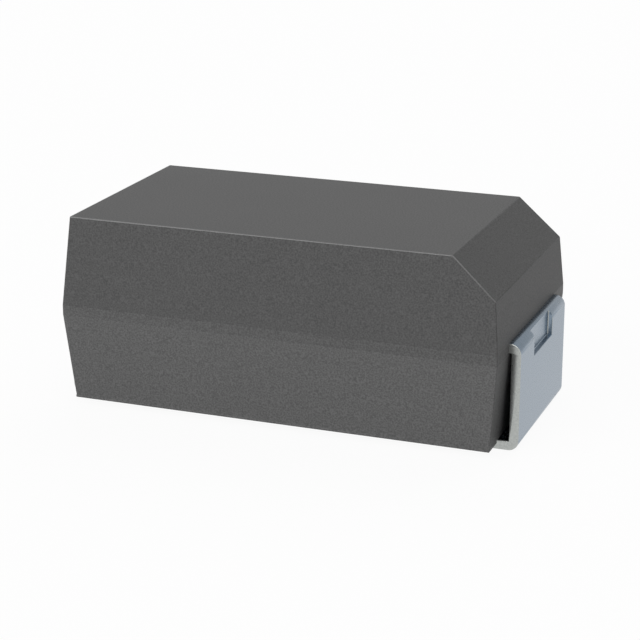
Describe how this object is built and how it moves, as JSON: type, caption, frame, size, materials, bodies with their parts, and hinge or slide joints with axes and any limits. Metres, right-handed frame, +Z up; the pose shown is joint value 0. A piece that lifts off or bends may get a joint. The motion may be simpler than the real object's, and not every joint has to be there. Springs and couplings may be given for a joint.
{
  "type": "tantalum capacitor",
  "caption": "Moulded tantalum chip capacitor: drafted dark grey block with a bevelled anode end and folded solder terminals, complete inside with pellet, wire and coats.",
  "frame": {"origin": "centre of the footprint on the board, at the soldering plane under the feet", "axes": "+X along the length towards the bevelled anode end, +Z up from the board, -Y is the front in the picture"},
  "size_m": [0.006, 0.0032, 0.0025],
  "materials": {
    "moulded_case": "moulded epoxy compound, fine matt grain",
    "terminal_strip": "matt tin plate on a rolled lead frame strip",
    "tantalum_anode": "sintered tantalum powder",
    "riser_wire": "drawn tantalum wire",
    "wire_washer": "skived white fluoropolymer",
    "manganese_dioxide": "fired black oxide coat",
    "graphite": "dipped carbon coat",
    "silver_paint": "dipped silver paint",
    "silver_adhesive": "cured silver-filled adhesive"
  },
  "bodies": {
    "root": {"moulded_case": "moulded_case", "anode_terminal": "terminal_strip", "cathode_terminal": "terminal_strip", "tantalum_anode": "tantalum_anode", "riser_wire": "riser_wire", "wire_washer": "wire_washer", "manganese_dioxide_coat": "manganese_dioxide", "graphite_coat": "graphite", "silver_coat": "silver_paint", "silver_adhesive": "silver_adhesive"}
  },
  "joints": []
}
